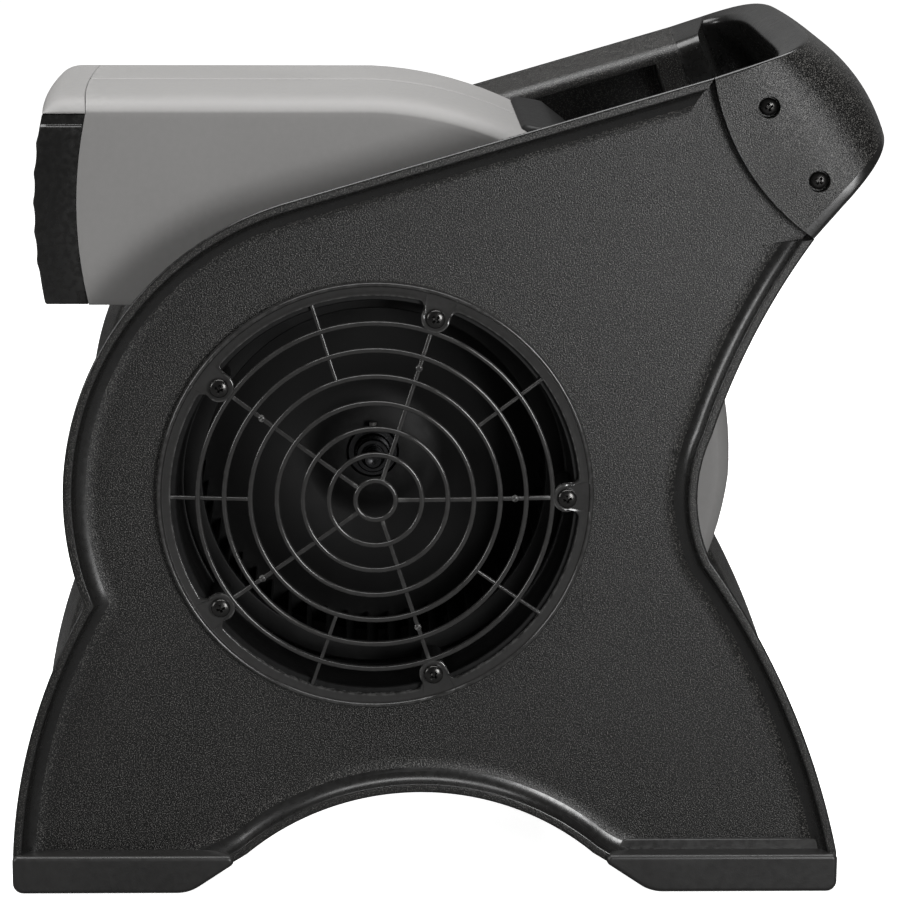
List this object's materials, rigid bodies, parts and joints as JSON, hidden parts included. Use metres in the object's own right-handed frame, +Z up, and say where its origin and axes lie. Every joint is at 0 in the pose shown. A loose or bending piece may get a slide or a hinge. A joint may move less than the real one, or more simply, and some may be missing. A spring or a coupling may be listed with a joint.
{
  "type": "air mover",
  "caption": "Pivoting utility air mover: a grey scroll blower head tilts between two black side frames with flared feet, round intake grilles and a wrap-around carry handle.",
  "frame": {"origin": "on the floor, under the middle of the overall box", "axes": "+X to the left-hand side of the machine along the tilt axis, +Y to the rear (the outlet faces -Y), +Z up"},
  "size_m": [0.288, 0.5206, 0.5135],
  "materials": {
    "black_plastic": "pebbled, satin black",
    "grey_plastic": "smooth satin grey",
    "black_oxide": "black oxide",
    "bright_steel": "zinc plated",
    "motor_paint": "satin dark grey",
    "socket_plastic": "semi gloss",
    "black_rubber": "matt",
    "red_plastic": "gloss"
  },
  "bodies": {
    "stand": {"side_frame_left": "black_plastic", "side_frame_right": "black_plastic", "carry_handle": "black_plastic", "handle_screw_left_1": "black_oxide", "handle_screw_left_2": "black_oxide", "handle_screw_right_1": "black_oxide", "handle_screw_right_2": "black_oxide", "cross_tube_front": "bright_steel", "cross_tube_rear": "bright_steel", "foot_pad_left_front": "black_rubber", "foot_pad_left_rear": "black_rubber", "foot_pad_right_front": "black_rubber", "foot_pad_right_rear": "black_rubber"},
    "head": {"housing_left": "grey_plastic", "housing_right": "grey_plastic", "inlet_collar_left": "black_plastic", "inlet_collar_right": "black_plastic", "outlet_visor": "grey_plastic", "outlet_grille": "black_plastic", "intake_grille_left": "black_plastic", "intake_grille_right": "black_plastic", "intake_screw_left_1": "black_oxide", "intake_screw_left_2": "black_oxide", "intake_screw_left_3": "black_oxide", "intake_screw_left_4": "black_oxide", "intake_screw_left_5": "black_oxide", "intake_screw_right_1": "black_oxide", "intake_screw_right_2": "black_oxide", "intake_screw_right_3": "black_oxide", "intake_screw_right_4": "black_oxide", "intake_screw_right_5": "black_oxide", "control_panel": "black_plastic", "receptacle_1": "socket_plastic", "receptacle_2": "socket_plastic", "cord_gland": "black_rubber", "wiring_box": "black_plastic", "rotary_switch": "black_plastic", "circuit_breaker": "black_plastic", "run_capacitor": "motor_paint", "motor": "motor_paint", "motor_bracket": "bright_steel"},
    "wheel": {"blower_wheel": "black_plastic", "wheel_hub": "black_oxide", "motor_shaft": "black_oxide", "hub_set_screw": "black_oxide"},
    "speed_knob": {"speed_knob": "black_plastic"},
    "reset_button": {"reset_button": "red_plastic"}
  },
  "joints": [
    {"name": "head_pivot", "type": "hinge", "parent": "stand", "child": "head", "pos_m": [0, -0.04215, 0.244], "axis": [-1, 0, 0], "range_deg": [-60, 90]},
    {"name": "wheel_spin", "type": "hinge", "parent": "head", "child": "wheel", "pos_m": [0, -0.04215, 0.244], "axis": [1, 0, 0], "continuous": true},
    {"name": "speed_knob_turn", "type": "hinge", "parent": "head", "child": "speed_knob", "pos_m": [-0.04, 0.10486, 0.42239], "axis": [0, 0.6225, 0.7826], "range_deg": [0, 135]},
    {"name": "reset_press", "type": "slide", "parent": "head", "child": "reset_button", "axis": [0, -0.6225, -0.7826], "range_m": [0, 0.003], "stiffness_N_per_m": 400}
  ]
}
